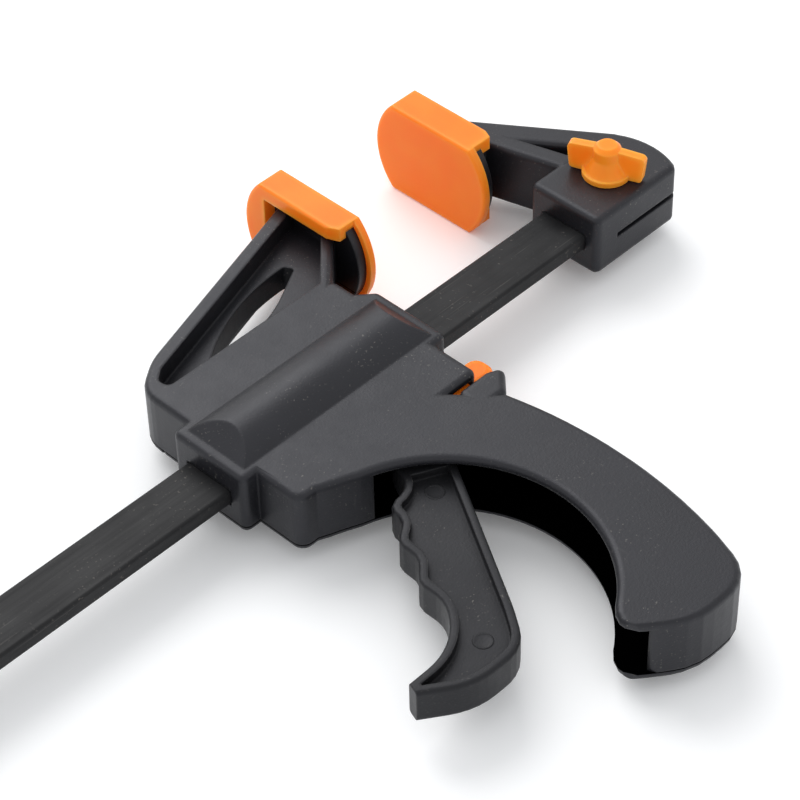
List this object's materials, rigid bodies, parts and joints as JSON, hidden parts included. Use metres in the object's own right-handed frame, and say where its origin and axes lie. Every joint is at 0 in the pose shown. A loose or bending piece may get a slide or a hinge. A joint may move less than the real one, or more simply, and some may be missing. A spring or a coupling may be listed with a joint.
{
  "type": "quick release bar clamp",
  "caption": "One-handed bar clamp: flat steel bar, fixed jaw with wing screw, sliding jaw with pistol grip, squeeze lever, release button and soft orange pads.",
  "frame": {"origin": "on the bar's centre line, in the plane of the fixed pad's clamping face", "axes": "+X along the bar from its free end towards the fixed jaw, +Y towards the jaw tips, +Z through the clamp's thickness, towards the wing screw's knob"},
  "size_m": [0.774, 0.2387, 0.0428],
  "materials": {
    "black_nylon": "fine moulded grain",
    "lever_nylon": "fine moulded grain",
    "orange_plastic": "soft satin",
    "black_steel": "black oxide, rubbed edges",
    "bright_steel": "zinc plated"
  },
  "bodies": {
    "bar_and_jaw": {"bar": "black_steel", "bar_stop_pin": "bright_steel", "fixed_jaw": "black_nylon", "fixed_pad": "orange_plastic", "jaw_nut": "bright_steel"},
    "wing": {"wing_knob": "orange_plastic", "wing_screw": "bright_steel"},
    "moving_jaw": {"main_housing": "black_nylon", "housing_cover": "black_nylon", "cover_screws": "bright_steel", "moving_pad": "orange_plastic", "lever_pin": "bright_steel", "brake_spring": "bright_steel"},
    "lever": {"trigger_lever": "lever_nylon"},
    "drive": {"drive_plates": "bright_steel", "spring_washer": "bright_steel", "drive_spring": "bright_steel"},
    "release": {"brake_plate": "bright_steel", "release_button": "orange_plastic"}
  },
  "joints": [
    {"name": "jaw_slide", "type": "slide", "parent": "bar_and_jaw", "child": "moving_jaw", "axis": [1, 0, 0], "range_m": [-0.55, 0.049]},
    {"name": "lever_squeeze", "type": "hinge", "parent": "moving_jaw", "child": "lever", "pos_m": [-0.101, -0.031, 0], "axis": [0, 0, 1], "range_deg": [0, 28], "stiffness_Nm_per_rad": 0.6, "springref_deg": -8.59},
    {"name": "drive_stroke", "type": "slide", "parent": "moving_jaw", "child": "drive", "axis": [-1, 0, 0], "range_m": [0, 0.0077], "deforming": ["drive_spring"]},
    {"name": "button_press", "type": "hinge", "parent": "moving_jaw", "child": "release", "pos_m": [-0.082, 0.0135, 0], "axis": [0, 0, -1], "range_deg": [0, 4], "stiffness_Nm_per_rad": 2, "springref_deg": -2.86, "deforming": ["brake_spring"]},
    {"name": "wing_turn", "type": "hinge", "parent": "bar_and_jaw", "child": "wing", "pos_m": [0.029, 0, 0], "axis": [0, 0, 1], "continuous": true}
  ],
  "couplings": [
    {"joint": "drive_stroke", "follows": "lever_squeeze", "m_per_rad": 0.01575}
  ]
}
